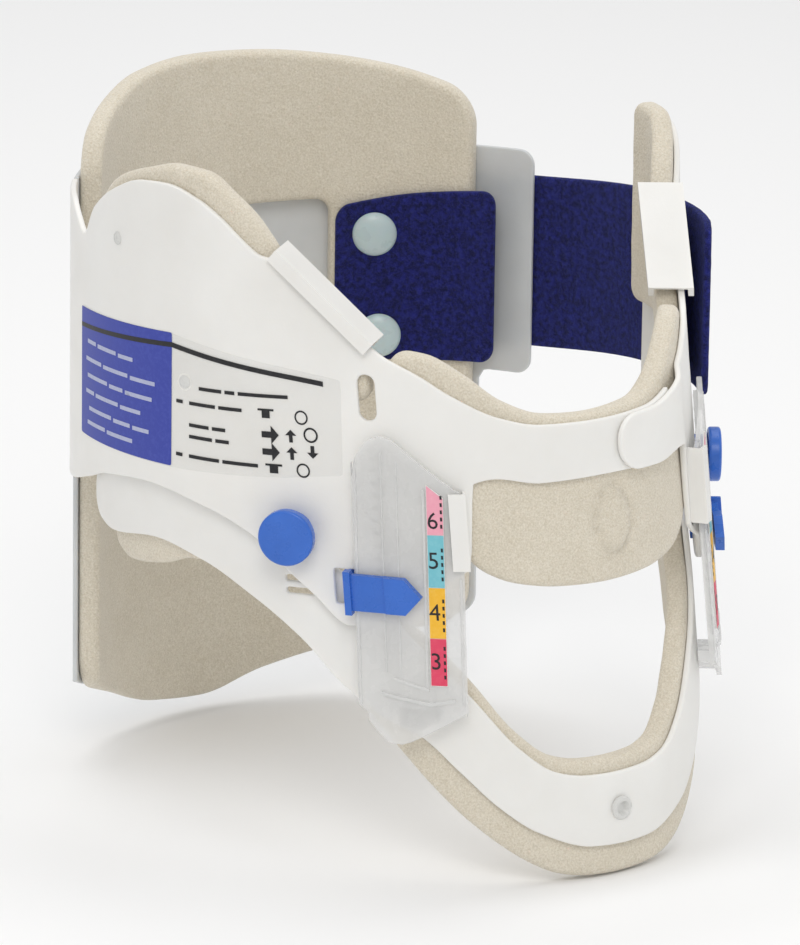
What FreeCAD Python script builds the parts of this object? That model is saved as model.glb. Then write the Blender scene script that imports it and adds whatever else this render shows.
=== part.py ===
"""Adjustable cervical extrication collar: two plastic side shells joined by a chin band, a foam
lined rear panel with a hook and loop strap, and a sternum piece that slides up and down on two
rack plates, held by sliding latches and pull-out safety locks.

Millimetres. +Z up, -Y the wearer's front, -X the wearer's right. The origin is on the neck axis.
Every sheet follows one wall, described by the distance s along its plan from the front centre
(positive round the wearer's right side), the height z and the offset outward from the wall.
"""
import FreeCAD
import Part

import math
import os

# ---- the wall ----
REAR_RADIUS = 75.0      # plan radius of the back and sides
FRONT_RADIUS = 58.0     # plan radius of the front
FLAT_ANGLE = math.radians(53)   # azimuth of the flat between the two radii, from the front
LEAN = 0.14             # forward slope of the front per mm down
LEAN_LEVEL = 54.0       # height where the plan has its stated radii
LEAN_FULL = 68.0        # the lean is whole up to this s
LEAN_NONE = 110.0       # and gone from this s on

# ---- thicknesses and layers, as offsets from the wall ----
SHELL = 1.5
REAR_SHELL = 1.2
FOAM = 5.5
ARM_GAP = 1.2           # between the shells and the sliding sternum piece inside them
PLATE_IN, PLATE_OUT = 3.0, 4.2
SCALE_THICKNESS = 0.2
LATCH_IN, LATCH_OUT = 4.6, 6.8
PLATE_SLANT = 0.045     # of the rack plate's long sides, in s per mm down
STRAP = 1.8
STRAP_WIDTH = 44.0

# ---- adjustment ----
LEFT_ARM_END = -100.0   # the sternum piece's left arm is the shorter one
PITCH = 3.0             # step of the rack and of the lock ladder, along the slide
STEPS_UP, STEPS_DOWN = 5, 7
LATCH_LEVEL = 52.7      # height of the latch
LOCK_S, LOCK_LEVEL = 77.0, 64.8
LOCK_RADIUS = 6.7
LOCK_BORE = 3.8
GAP = 0.15             # between layers that lie on each other
LOCK_TRAVEL = 3.8

# ---- rear panel ----
HINGE_S = 180.0         # where the rear panel flexes away from the right shell
REAR_START, REAR_END = 180.4, 316.0
TAB_END = 331.0
STRAP_HINGE = 333.0
STRAP_END = 407.4

FRONT_ARC = FRONT_RADIUS * FLAT_ANGLE
FRONT_CENTRE = (REAR_RADIUS - FRONT_RADIUS) / math.cos(FLAT_ANGLE)
FLAT = (REAR_RADIUS - FRONT_RADIUS) * math.tan(FLAT_ANGLE)
FLAT_END = FRONT_ARC + FLAT
BACK = FLAT_END + REAR_RADIUS * (math.pi - FLAT_ANGLE)


def plan(s):
    """Plan point and outward normal of the wall at s."""
    side = -1.0 if s >= 0 else 1.0
    a = abs(s)
    if a <= FRONT_ARC:
        p = a / FRONT_RADIUS
        x, y = FRONT_RADIUS * math.sin(p), -FRONT_CENTRE - FRONT_RADIUS * math.cos(p)
    elif a <= FLAT_END:
        p = FLAT_ANGLE
        d = a - FRONT_ARC
        x = FRONT_RADIUS * math.sin(p) + d * math.cos(p)
        y = -FRONT_CENTRE - FRONT_RADIUS * math.cos(p) + d * math.sin(p)
    else:
        p = FLAT_ANGLE + (a - FLAT_END) / REAR_RADIUS
        x, y = REAR_RADIUS * math.sin(p), -REAR_RADIUS * math.cos(p)
    return (side * x, y), (side * math.sin(p), -math.cos(p))


def lean(s):
    t = min(max((abs(s) - LEAN_FULL) / (LEAN_NONE - LEAN_FULL), 0.0), 1.0)
    return LEAN * (1 - t * t * (3 - 2 * t))


def wall(s, z, offset=0.0):
    """The point at s, z and an outward offset from the wall."""
    (x, y), (nx, ny) = plan(s)
    return FreeCAD.Vector(x + nx * offset, y + ny * offset + lean(s) * (z - LEAN_LEVEL), z)


SLIDE = FreeCAD.Vector(0, LEAN, 1).normalize()   # the line that the sternum piece moves along


# ---- building sheets ----
def curve(points):
    """A smooth function of s through the given (s, value) points, with no overshoot."""
    n = len(points)
    slopes = [(points[i + 1][1] - points[i][1]) / (points[i + 1][0] - points[i][0])
              for i in range(n - 1)]
    tangents = [slopes[0]]
    for before, after in zip(slopes, slopes[1:]):
        same = before * after > 0
        tangents.append(2 * before * after / (before + after) if same else 0.0)
    tangents.append(slopes[-1])

    def value(s):
        if s <= points[0][0]:
            return points[0][1]
        if s >= points[-1][0]:
            return points[-1][1]
        i = max(k for k in range(n - 1) if points[k][0] <= s)
        (s0, v0), (s1, v1) = points[i], points[i + 1]
        h = s1 - s0
        t = (s - s0) / h
        return ((1 + 2 * t) * (1 - t) ** 2 * v0 + t * (1 - t) ** 2 * h * tangents[i]
                + t * t * (3 - 2 * t) * v1 + t * t * (t - 1) * h * tangents[i + 1])
    return value


def both_sides(points):
    """A profile given for s from 0 up, repeated for the other side."""
    return [(-s, v) for s, v in reversed(points) if s > 0] + points


def rounded(value, start, end, radius, sign):
    """The profile with its two end corners rounded. sign is 1 for a top edge, -1 for a bottom."""
    def corner(s):
        inset = max(start + radius - s, s - (end - radius), 0.0)
        drop = radius - math.sqrt(max(radius * radius - min(inset, radius) ** 2, 0.0))
        return value(s) - sign * drop
    return corner


def stations(start, end, radius=0.0, step=7.0):
    """Places along s for a sheet's sections, closer together at rounded ends."""
    ends = [0.0, 0.08, 0.3, 0.65] if radius else []
    middle = max(int((end - start - 2 * radius) / step), 2)
    inner = [start + radius + (end - start - 2 * radius) * i / middle for i in range(middle + 1)]
    return ([start + radius * e for e in ends] + inner
            + [end - radius * e for e in reversed(ends)])


def as_function(value):
    return value if callable(value) else (lambda s: value)


def sheet(places, low, high, inside, outside):
    """A solid that follows the wall between two heights and two offsets, each given along s."""
    low, high, inside, outside = map(as_function, (low, high, inside, outside))
    sections = []
    for s in places:
        corners = [wall(s, low(s), inside(s)), wall(s, high(s), inside(s)),
                   wall(s, high(s), outside(s)), wall(s, low(s), outside(s))]
        sections.append(Part.makePolygon(corners + corners[:1]))
    return Part.makeLoft(sections, True, True)


def block(outline, inside, outside, at=None):
    """A straight-sided solid over an outline of (s, z) points, square to the wall at s = at."""
    at = sum(s for s, z in outline) / len(outline) if at is None else at
    (x, y), (nx, ny) = plan(at)
    across = FreeCAD.Vector(-ny, nx, 0) * (-1 if (-ny) * (plan(at + 0.1)[0][0] - x) < 0 else 1)
    start = wall(at, LEAN_LEVEL, inside)
    rise = FreeCAD.Vector(0, lean(at), 1)
    corners = [start + across * (s - at) + rise * (z - LEAN_LEVEL) for s, z in outline]
    face = Part.Face(Part.makePolygon(corners + corners[:1]))
    return face.extrude(FreeCAD.Vector(nx, ny, 0) * (outside - inside))


def box_outline(s0, s1, z0, z1):
    return [(s0, z0), (s1, z0), (s1, z1), (s0, z1)]


def slot_cutter(s0, s1, z0, z1):
    """An upright slot with round ends, cut through every layer."""
    r = (s1 - s0) / 2
    middle = (s0 + s1) / 2
    cutter = block(box_outline(s0, s1, z0 + r, z1 - r), -10, 10)
    for z in (z0 + r, z1 - r):
        cutter = cutter.fuse(pin(middle, z, r, -10, 10))
    return cutter


def pin(s, z, radius, inside, outside):
    (nx, ny) = plan(s)[1]
    return Part.makeCylinder(radius, outside - inside, wall(s, z, inside),
                             FreeCAD.Vector(nx, ny, 0))


def round_corners(solid, radius):
    """A small edge radius where the solid allows it."""
    try:
        done = solid.makeFillet(radius, solid.Edges)
        return done if done.isValid() else solid
    except Part.OCCError:
        return solid


def mirrored(solid):
    return solid.mirror(FreeCAD.Vector(0, 0, 0), FreeCAD.Vector(1, 0, 0))


# ---- profiles of the edges, as (s, z) ----
BAND_TOP = both_sides([(0, 91), (16, 91.4), (26, 93.6), (37, 99), (44, 103.5), (52, 107.6)])
BAND_LOW = both_sides([(0, 78), (17, 77.8), (28, 79.4), (33.0, 78.4)])
SIDE_TOP = [(53, 108.3), (60, 114.5), (75, 128.7), (81, 129.5), (87, 133), (94, 137.7),
            (103, 142), (113, 144.4), (122, 143.7)]
SIDE_LOW = [(35.2, 58.5), (48, 52), (56, 45), (65, 43.5), (73, 50.2), (78, 54.5), (87, 62.6),
            (99, 67.7), (118, 71), (136, 69)]
EAR_BACK = [(132, 140), (143, 133), (150, 125), (157, 128), (165, 131), (180, 131.5)]
BACK_LOW = [(147, 65.5), (165, 61), (180, 60)]
EAR_PAD_TOP = [(56, 109), (75, 127.8), (78.5, 132.5), (84, 138.2), (92, 143.0), (103, 148.0),
               (113, 148.5), (122, 146.5)]
ARM_TOP = both_sides([(0, 6.5), (9, 6.8), (17, 8.4), (26.5, 15), (37, 27), (50, 40), (60, 49.5),
                      (70, 58), (80, 66), (100, 74), (120, 76), (140, 71.5), (148, 67.5)])
ARM_LOW = both_sides([(0, -10.5), (9, -10.1), (23, -5.4), (32.3, 1), (41, 9.3), (50, 17.5),
                      (58, 21), (68.6, 28.7), (77.5, 38.6), (89, 47.2), (103, 54), (118, 56.8),
                      (138, 54.4), (148, 57)])
LOWER_PAD_TOP = both_sides([(0, 9.5), (9, 9.8), (17, 11.4), (26.5, 18), (37, 30), (50, 42),
                            (60, 49.5), (70, 57), (80, 65), (100, 72), (120, 74), (137, 70),
                            (142, 66)])
LOWER_PAD_LOW = both_sides([(0, -18), (8, -17.8), (16.5, -16.6), (24, -13.8), (37.5, -5),
                            (51, 7.5), (66, 25.3), (77.5, 38.4), (89, 46.8), (101, 53.2),
                            (108, 53), (119, 49.8), (132, 48), (138, 50), (142, 55)])
CHIN_PAD_TOP = both_sides([(0, 92.2), (14, 93), (24, 96.5), (34, 103.5), (42, 107.6), (52, 109)])
CHIN_PAD_LOW = both_sides([(0, 52), (13, 52.4), (24, 53.9), (32, 57), (38, 63), (45, 72),
                           (52, 82)])
REAR_TOP = [(180, 138), (190, 143), (201, 147), (217, 151), (236, 152.4), (257, 151.6),
            (278, 149.3), (296, 146), (316, 140)]
REAR_LOW = [(180, 3), (202, -4.5), (222, -11.5), (241, -13.6), (260, -9), (280, -4.5), (316, 3)]


def left(profile):
    """The same profile on the wearer's left."""
    return [(-s, v) for s, v in reversed(profile)]


def sternum_slot_ladder():
    """The ladder of slots that the lock blades enter, one step apart along the slide."""
    slot = box_outline(LOCK_S - 3.4, LOCK_S + 3.4, -0.75, 0.75)
    cutters = []
    for k in range(-STEPS_UP, STEPS_DOWN + 1):
        centre = LOCK_LEVEL + k * PITCH * SLIDE.z
        outline = [(s, z + centre) for s, z in slot]
        cutters.append(block(outline, -5, -0.6, at=LOCK_S))
    return cutters


def make_right_shell():
    top = curve(BAND_TOP + SIDE_TOP + EAR_BACK)
    low = curve(BAND_LOW + SIDE_LOW + BACK_LOW)
    front_end = -26.0
    places = ([front_end + i * 5.5 for i in range(11)] + [33.0, 34.1, 35.2, 37.2, 39.0]
              + stations(44, HINGE_S - 0.4, 0, 5.0))
    shell = sheet(places, low, top, 0, SHELL)
    shell = shell.cut(slot_cutter(54.4, 58.6, 92.4, 103.2))
    shell = shell.cut(block(box_outline(61.8, 67.6, LATCH_LEVEL - 4.2, LATCH_LEVEL + 4.2), -2, 2.5))
    return shell.cut(lock_hole()).fuse(lock_collar())


def make_left_shell():
    """The mirror side: it ends behind the ear, and its front end is a tongue over the band."""
    top = curve([(-116, 142.0), (-112, 143.2)] + left(SIDE_TOP)[2:] + BAND_TOP)
    low = curve([(-116, 71)] + left(SIDE_LOW)[2:] + BAND_LOW)
    tongue_start, tongue_end, radius = -35.2, -4.0, 6.1
    step_out = curve([(tongue_start, 0.0), (tongue_start + 5.8, SHELL + 0.25)])
    places = [-116 + i * 5.0 for i in range(16)] + [-37.6, tongue_start]
    side = sheet(places, low, top, 0, SHELL)
    tongue = sheet([tongue_start - 0.4, tongue_start, -33.8, -32.3, -30.8, -29.4, -28.0]
                   + stations(tongue_start, tongue_end, radius, 5.0)[6:],
                   rounded(curve(BAND_LOW), tongue_start - 20, tongue_end, radius, -1),
                   rounded(curve(BAND_TOP), tongue_start - 20, tongue_end, radius, 1),
                   step_out, lambda s: step_out(s) + SHELL)
    shell = side.fuse(tongue)
    shell = shell.cut(mirrored(slot_cutter(54.4, 58.6, 92.4, 103.2)))
    slot = block(box_outline(61.8, 67.6, LATCH_LEVEL - 4.2, LATCH_LEVEL + 4.2), -2, 2.5)
    return shell.cut(mirrored(slot)).cut(mirrored(lock_hole())).fuse(mirrored(lock_collar()))


def lock_hole():
    return pin(LOCK_S, LOCK_LEVEL, LOCK_BORE, -1.5, 3.0)


def lock_collar():
    """The raised ring that the lock's blade runs in."""
    ring = pin(LOCK_S, LOCK_LEVEL, LOCK_BORE + 1.1, SHELL - 0.5, SHELL + 2.7)
    return ring.cut(lock_hole()).cut(pin(LOCK_S, LOCK_LEVEL, LOCK_BORE, 0, 9))


def make_ear_pad(start, end, lowered=0.0):
    points = EAR_PAD_TOP + [(134, 142.3), (143, 135), (150, 124)]
    top = curve([(s, z - lowered * (z > 130)) for s, z in points])
    low = curve([(start, 96), (70, 96), (end, 96)])
    return sheet(stations(start, end, 4.0, 6.0), rounded(low, start, end, 4, -1),
                 rounded(top, start, end, 4, 1), -FOAM, -GAP)


def make_chin_pad():
    return sheet(stations(-52, 52, 6.0, 6.0),
                 rounded(curve(CHIN_PAD_LOW), -52, 52, 6, -1),
                 rounded(curve(CHIN_PAD_TOP), -52, 52, 6, 1), -FOAM, -GAP)


def make_sternum_band():
    places = stations(LEFT_ARM_END, 148, 4.0, 6.5)
    band = sheet(places, rounded(curve(ARM_LOW), LEFT_ARM_END, 148, 4, -1),
                 rounded(curve(ARM_TOP), LEFT_ARM_END, 148, 4, 1), -ARM_GAP - SHELL, -ARM_GAP)
    for slot in sternum_slot_ladder():
        band = band.cut(slot).cut(mirrored(slot))
    return band.cut(pin(0, -2, 2.0, -5, 2))


def make_sternum_pad():
    inner = -ARM_GAP - SHELL
    start = LEFT_ARM_END + 5
    pad = sheet(stations(start, 142, 4.0, 6.5), rounded(curve(LOWER_PAD_LOW), start, 142, 4, -1),
                rounded(curve(LOWER_PAD_TOP), start, 142, 4, 1), inner - FOAM, inner - GAP)
    window = block(box_outline(LOCK_S - 5.5, LOCK_S + 5.5, 46, 72), inner - FOAM - 2, inner + 1)
    return pad.cut(window).cut(mirrored(window)).cut(pin(0, -2, 2.0, -12, 2))


def slanted(points):
    """Points of the rack plate, whose long sides slant a little against the wall's own lines."""
    return [(s + PLATE_SLANT * (LEAN_LEVEL - z), z) for s, z in points]


def make_rack_plate():
    """The sliding plate outside the shell, with the rack and the tie to the band on its back."""
    outline = slanted([(37.4, 77.0), (41.0, 79.4), (49.8, 86.6), (52.5, 88.8), (55.0, 89.6),
                       (58.4, 88.2), (61.2, 84.0), (62.0, 79.0), (61.9, 66.0), (61.9, 52.0),
                       (61.9, 38.0), (61.8, 26.0), (58.0, 20.4), (54.4, 17.2), (51.6, 17.0),
                       (48.0, 18.6), (41.0, 22.6), (36.8, 25.2), (36.8, 40.0), (36.8, 58.0)])
    top = [p for p in outline if p[1] > 75]
    low = [p for p in outline if p[1] < 30]
    places = sorted({round(s, 2) for s, z in top[1:-1] + low[1:-1]} | {38.6, 45.0, 60.4})
    first, last = 38.3, 60.9
    plate = sheet([first] + [s for s in places if first < s < last] + [last],
                  curve(sorted(low)), curve(sorted(top)), PLATE_IN, PLATE_OUT)
    front = block([outline[-2], outline[-3], (first + 0.1, outline[-3][1] - 1.0),
                   (first + 0.1, top[0][1] + 0.9), top[0], outline[-1]],
                  PLATE_IN, PLATE_OUT, at=38.0)
    rear = block([(last - 0.1, 83.0), (last - 0.1, 24.0), outline[11], outline[9], outline[7]],
                 PLATE_IN, PLATE_OUT, at=61.5)
    rack_low, teeth = 27.0, 20
    teeth_outline = [(53.0, rack_low)]
    for i in range(teeth):
        z = rack_low + i * PITCH * SLIDE.z
        teeth_outline += [(55.2, z), (56.8, z + 0.5), (56.8, z + 0.9), (55.2, z + 1.4)]
    teeth_outline.append((53.0, rack_low + teeth * PITCH * SLIDE.z))
    rack = block(teeth_outline, SHELL + 0.4, PLATE_IN + 0.1, at=60.0)
    tie = block([(44, 23.0), (50, 19.5), (54, 19.5), (54, 25.5), (44, 25.5)],
                -ARM_GAP, PLATE_IN + 0.3, at=50.0)
    return plate.fuse(front).fuse(rear).fuse(rack).fuse(tie)


def make_size_scale():
    """The strip that carries the size numbers."""
    outline = slanted([(41.0, 31.5), (45.0, 31.5), (45.0, 79.0), (41.0, 76.0)])
    return block(outline, PLATE_OUT + 0.02, PLATE_OUT + SCALE_THICKNESS + 0.1, at=43.0)


def make_plate_guide():
    """The lip that holds the plate's front edge against the shell."""
    web = block(box_outline(35.3, 35.9, 59, 77.0), SHELL, 5.6, at=36.0)
    lip = block(box_outline(35.3, 39.4, 59, 77.0), 4.8, 5.6, at=36.0)
    return web.fuse(lip)


def make_latch():
    """The arrow-shaped latch: arm, foot through the shell's slot, keeper inside and pawl."""
    z0, z1 = LATCH_LEVEL - 4.2, LATCH_LEVEL + 4.2
    middle = LATCH_LEVEL
    arm = block([(45.4, middle), (49.4, z0), (63.9, z0), (63.9, z1), (49.4, z1)],
                LATCH_IN, LATCH_OUT - 0.5, at=60.0)
    head = block([(45.4, middle), (49.4, z0), (54.2, z0), (54.2, z1), (49.4, z1)],
                 LATCH_IN, LATCH_OUT, at=60.0)
    rim = block(box_outline(62.3, 63.9, z0 - 0.9, z1 + 0.9), LATCH_IN, LATCH_OUT + 0.5, at=60.0)
    foot = block(box_outline(62.9, 63.9, middle - 3.6, middle + 3.6), -0.2, LATCH_IN, at=60.0)
    keeper = block(box_outline(62.2, 64.3, middle - 4.8, middle + 4.8), -0.8, -0.2, at=60.0)
    tooth = block([(57.4, middle - 0.2), (57.4, middle + 0.2), (59.0, middle + 0.9),
                   (62.6, middle + 0.9), (62.6, middle - 0.9), (59.0, middle - 0.9)],
                  SHELL + 0.5, PLATE_IN - 0.3, at=60.0)
    return arm.fuse(head).fuse(rim).fuse(foot).fuse(keeper).fuse(tooth)


def make_lock():
    """The round safety lock, drawn pulled out: a hollow cap and the blade that enters the
    ladder when the cap is pushed in over its collar."""
    skirt_end = SHELL + LOCK_TRAVEL
    face = skirt_end + 3.1
    cap = round_corners(pin(LOCK_S, LOCK_LEVEL, LOCK_RADIUS, skirt_end, face), 0.7)
    cap = cap.cut(pin(LOCK_S, LOCK_LEVEL, LOCK_BORE + 1.5, skirt_end - 1, face - 1.2))
    blade = block(box_outline(LOCK_S - 2.8, LOCK_S + 2.8, LOCK_LEVEL - 0.4, LOCK_LEVEL + 0.4),
                  -0.8, face - 0.8, at=LOCK_S)
    return cap.fuse(blade)


def make_edge_clip():
    """The U-shaped clip that grips shell and pad along the sloping edge."""
    run = (21.7, 20.6)
    size = math.hypot(*run)
    along = (run[0] / size, run[1] / size)
    inward = (along[1], -along[0])
    start = (53.6, 110.9)

    def strip(depth0, depth1):
        corners = []
        for length, depth in ((0, depth0), (size, depth0), (size, depth1), (0, depth1)):
            corners.append((start[0] + along[0] * length + inward[0] * depth,
                            start[1] + along[1] * length + inward[1] * depth))
        return corners
    outer = block(strip(0, 3.4), SHELL + 0.95, SHELL + 2.3, at=66.0)
    web = block(strip(0, 0.65), -FOAM - 1.7, SHELL + 2.3, at=66.0)
    inner = block(strip(0, 3.4), -FOAM - 1.7, -FOAM - 0.4, at=66.0)
    return outer.fuse(web).fuse(inner)


def make_rear_shell():
    top = curve([(180, 131.5), (220, 133), (290, 131), (312, 126.5), (331, 126)])
    low_points = [(s, z + 1.0) for s, z in REAR_LOW]
    body = sheet(stations(REAR_START, 317, 5.0, 6.5),
                 rounded(curve(low_points), REAR_START - 10, 317, 5, -1), top, 0, REAR_SHELL)
    tab = sheet(stations(300, TAB_END, 4.0, 5.0), rounded(as_function(68.5), 290, TAB_END, 4, -1),
                rounded(as_function(126.3), 290, TAB_END, 4, 1), 0, REAR_SHELL)
    shell = body.fuse(tab)
    return shell.cut(rivet_holes())


def make_rear_pad():
    pad = sheet(stations(REAR_START + 0.2, REAR_END, 8.0, 6.5),
                rounded(curve(REAR_LOW), REAR_START, REAR_END, 8, -1),
                rounded(curve(REAR_TOP), REAR_START, REAR_END, 8, 1), -FOAM, -GAP)
    window = sheet(stations(214, 277.5, 4.0, 6.0),
                   rounded(as_function(62.0), 214, 277.5, 4, -1),
                   rounded(as_function(112.5), 214, 277.5, 4, 1), -FOAM - 2, 1)
    return pad.cut(window).cut(rivet_holes())


def strap_offset(s):
    return curve([(300, REAR_SHELL + GAP), (322, REAR_SHELL + 0.3), (350, 2.5), (410, 2.5)])(s)


def strap_low(s):
    return curve([(283, 75.0), (329, 75.5), (366, 78.0), (400, 79.0), (410, 79.0)])(s)


def make_strap(start, end):
    places = stations(start, end, 4.0, 6.0)
    if start < STRAP_HINGE - 1:
        places = [s for s in places if s < end - 4.5] + [end]
        low, high = (rounded(strap_low, start, end + 20, 4, -1),
                     rounded(lambda s: strap_low(s) + STRAP_WIDTH, start, end + 20, 4, 1))
    else:
        places = [start] + [s for s in places if s > start + 4.5]
        low, high = (rounded(strap_low, start - 20, end, 4, -1),
                     rounded(lambda s: strap_low(s) + STRAP_WIDTH, start - 20, end, 4, 1))
    return sheet(places, low, high, strap_offset, lambda s: strap_offset(s) + STRAP)


def make_inner_tab():
    low = curve([(278.6, 71), (323.5, 72)])
    high = curve([(278.6, 111), (300, 114.5), (323.5, 116.5)])
    return sheet(stations(278.6, 323.5, 4.0, 6.0), rounded(low, 270, 323.5, 4, -1),
                 rounded(high, 270, 323.5, 4, 1), -FOAM - STRAP, -FOAM - GAP)


RIVETS = ((289.5, 104.0), (291.0, 77.8))
RIVET_RADIUS = 2.0


def rivet_holes():
    (s0, z0), (s1, z1) = RIVETS
    hole = RIVET_RADIUS + 0.1
    return pin(s0, z0, hole, -12, 8).fuse(pin(s1, z1, hole, -12, 8))


def make_rivets():
    inside, outside = -FOAM - STRAP - 0.3, REAR_SHELL + STRAP + 0.3
    rivets = []
    for s, z in RIVETS:
        shank = pin(s, z, RIVET_RADIUS, inside, outside)
        head = round_corners(pin(s, z, 5.6, inside - 1.6, inside), 0.8)
        tail = round_corners(pin(s, z, 4.6, outside, outside + 1.2), 0.5)
        rivets.append(head.fuse(shank).fuse(tail))
    return Part.makeCompound(rivets)


def make_hook_patch():
    return sheet(stations(-114, -84, 3.0, 5.0), rounded(as_function(84.0), -114, -84, 3, -1),
                 rounded(as_function(118.0), -114, -84, 3, 1), SHELL + 0.12,
                 SHELL + 0.6)


def make_foam_pins():
    """Small pins that hold the foam to the ear of each shell and to the right side wall."""
    pins = []
    for s, z in ((130.5, 128.0), (106.5, 97.6)):
        flange = pin(s, z, 1.6, SHELL, SHELL + 0.5)
        shank = pin(s, z, 0.9, -2.0, SHELL + 0.1)
        pins.append(flange.fuse(shank))
    return pins


def make_sternum_pin():
    inner = -ARM_GAP - SHELL
    flange = pin(0, -2, 2.9, -ARM_GAP + 0.45, -ARM_GAP + 1.1)
    shank = pin(0, -2, 1.6, inner - FOAM - 1.0, -ARM_GAP + 0.6)
    back = pin(0, -2, 4.0, inner - FOAM - 1.3, inner - FOAM - 0.65)
    return flange.fuse(shank).fuse(back)


def save(name, shape):
    os.makedirs("parts", exist_ok=True)
    solids = shape.Solids
    print(name, "valid" if shape.isValid() else "INVALID", len(solids), round(shape.Volume, 1))
    shape = solids[0] if len(solids) == 1 else Part.makeCompound(solids)
    shape.exportStep("parts/%s.step" % name)


def main():
    lock = make_lock()
    plate = make_rack_plate()
    scale = make_size_scale()
    guide = make_plate_guide()
    latch = make_latch()
    clip = make_edge_clip()
    ear_pin, wall_pin = make_foam_pins()
    right_shell = make_right_shell().cut(pin(130.5, 128.0, 0.95, -1, 3))
    right_shell = right_shell.cut(pin(106.5, 97.6, 0.95, -1, 3))
    save("right_shell", right_shell)
    save("left_shell", make_left_shell())
    save("chin_pad", make_chin_pad())
    ear_pad = make_ear_pad(56, 149).cut(pin(130.5, 128.0, 0.95, -3, 1))
    save("right_ear_pad", ear_pad.cut(pin(106.5, 97.6, 0.95, -3, 1)))
    save("left_ear_pad", mirrored(make_ear_pad(56, 114, 2.2)))
    save("foam_pins", Part.makeCompound([ear_pin, wall_pin]))
    for side, turn in (("right", lambda shape: shape), ("left", mirrored)):
        save(side + "_edge_clip", turn(clip))
        save(side + "_plate_guide", turn(guide))
        save(side + "_rack_plate", turn(plate))
        save(side + "_size_scale", turn(scale))
        save(side + "_latch", turn(latch))
        save(side + "_lock_button", turn(lock))
    save("sternum_band", make_sternum_band())
    save("sternum_pad", make_sternum_pad())
    save("sternum_pin", make_sternum_pin())
    save("rear_shell", make_rear_shell())
    save("rear_pad", make_rear_pad())
    save("strap_anchor", make_strap(283, STRAP_HINGE - 0.4).cut(rivet_holes()))
    save("strap_tail", make_strap(STRAP_HINGE, STRAP_END))
    save("strap_inner_tab", make_inner_tab().cut(rivet_holes()))
    save("strap_rivets", make_rivets())
    save("hook_patch", make_hook_patch())


main()
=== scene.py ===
"""Looks of the adjustable neck collar: shells, foam, strap, rack plates and print, in the frame
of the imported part. Metres in Blender; the wall's own numbers are in millimetres, as s round the
plan from the front centre, z height and an offset outward."""

import math

import bmesh
import bpy
import numpy as np
from mathutils import Matrix, Vector, noise
from mathutils.geometry import delaunay_2d_cdt


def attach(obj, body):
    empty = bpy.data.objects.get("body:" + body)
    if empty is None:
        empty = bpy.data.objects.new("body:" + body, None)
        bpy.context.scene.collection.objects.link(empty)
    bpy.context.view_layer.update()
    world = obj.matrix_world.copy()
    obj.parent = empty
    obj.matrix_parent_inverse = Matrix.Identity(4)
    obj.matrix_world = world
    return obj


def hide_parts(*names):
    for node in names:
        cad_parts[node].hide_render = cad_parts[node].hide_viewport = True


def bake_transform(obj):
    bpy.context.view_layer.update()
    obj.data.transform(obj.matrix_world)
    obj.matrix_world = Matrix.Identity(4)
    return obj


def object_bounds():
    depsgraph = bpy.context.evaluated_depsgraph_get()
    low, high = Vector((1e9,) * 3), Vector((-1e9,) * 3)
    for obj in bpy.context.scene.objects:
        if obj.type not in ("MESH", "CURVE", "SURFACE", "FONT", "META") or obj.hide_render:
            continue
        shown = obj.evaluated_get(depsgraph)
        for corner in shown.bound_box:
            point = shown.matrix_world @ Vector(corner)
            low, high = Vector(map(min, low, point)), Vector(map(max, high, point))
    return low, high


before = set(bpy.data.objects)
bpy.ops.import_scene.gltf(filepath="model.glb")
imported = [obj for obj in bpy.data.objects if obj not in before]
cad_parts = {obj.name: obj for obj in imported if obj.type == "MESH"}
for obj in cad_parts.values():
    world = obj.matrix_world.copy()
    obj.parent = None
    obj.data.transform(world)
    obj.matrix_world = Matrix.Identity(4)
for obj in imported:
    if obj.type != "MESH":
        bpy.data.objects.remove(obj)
cad_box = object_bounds()

# ---------------------------------------------------------------- the wall
REAR_RADIUS, FRONT_RADIUS, FLAT_ANGLE = 75.0, 58.0, math.radians(53)
LEAN, LEAN_LEVEL, LEAN_FULL, LEAN_NONE = 0.14, 54.0, 68.0, 110.0
SHELL, REAR_SHELL, FOAM, ARM_GAP = 1.5, 1.2, 5.5, 1.2
STRAP, STRAP_WIDTH = 1.8, 44.0
FRONT_ARC = FRONT_RADIUS * FLAT_ANGLE
FRONT_CENTRE = (REAR_RADIUS - FRONT_RADIUS) / math.cos(FLAT_ANGLE)
FLAT_END = FRONT_ARC + (REAR_RADIUS - FRONT_RADIUS) * math.tan(FLAT_ANGLE)


def plan(s):
    side = -1.0 if s >= 0 else 1.0
    a = abs(s)
    if a <= FRONT_ARC:
        p = a / FRONT_RADIUS
        x, y = FRONT_RADIUS * math.sin(p), -FRONT_CENTRE - FRONT_RADIUS * math.cos(p)
    elif a <= FLAT_END:
        p, d = FLAT_ANGLE, a - FRONT_ARC
        x = FRONT_RADIUS * math.sin(p) + d * math.cos(p)
        y = -FRONT_CENTRE - FRONT_RADIUS * math.cos(p) + d * math.sin(p)
    else:
        p = FLAT_ANGLE + (a - FLAT_END) / REAR_RADIUS
        x, y = REAR_RADIUS * math.sin(p), -REAR_RADIUS * math.cos(p)
    return (side * x, y), (side * math.sin(p), -math.cos(p))


def lean(s):
    t = min(max((abs(s) - LEAN_FULL) / (LEAN_NONE - LEAN_FULL), 0.0), 1.0)
    return LEAN * (1 - t * t * (3 - 2 * t))


def wall(s, z, offset=0.0):
    """The point, in metres, at s, z and an outward offset from the wall."""
    (x, y), (nx, ny) = plan(s)
    return Vector((x + nx * offset, y + ny * offset + lean(s) * (z - LEAN_LEVEL), z)) * 0.001


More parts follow.
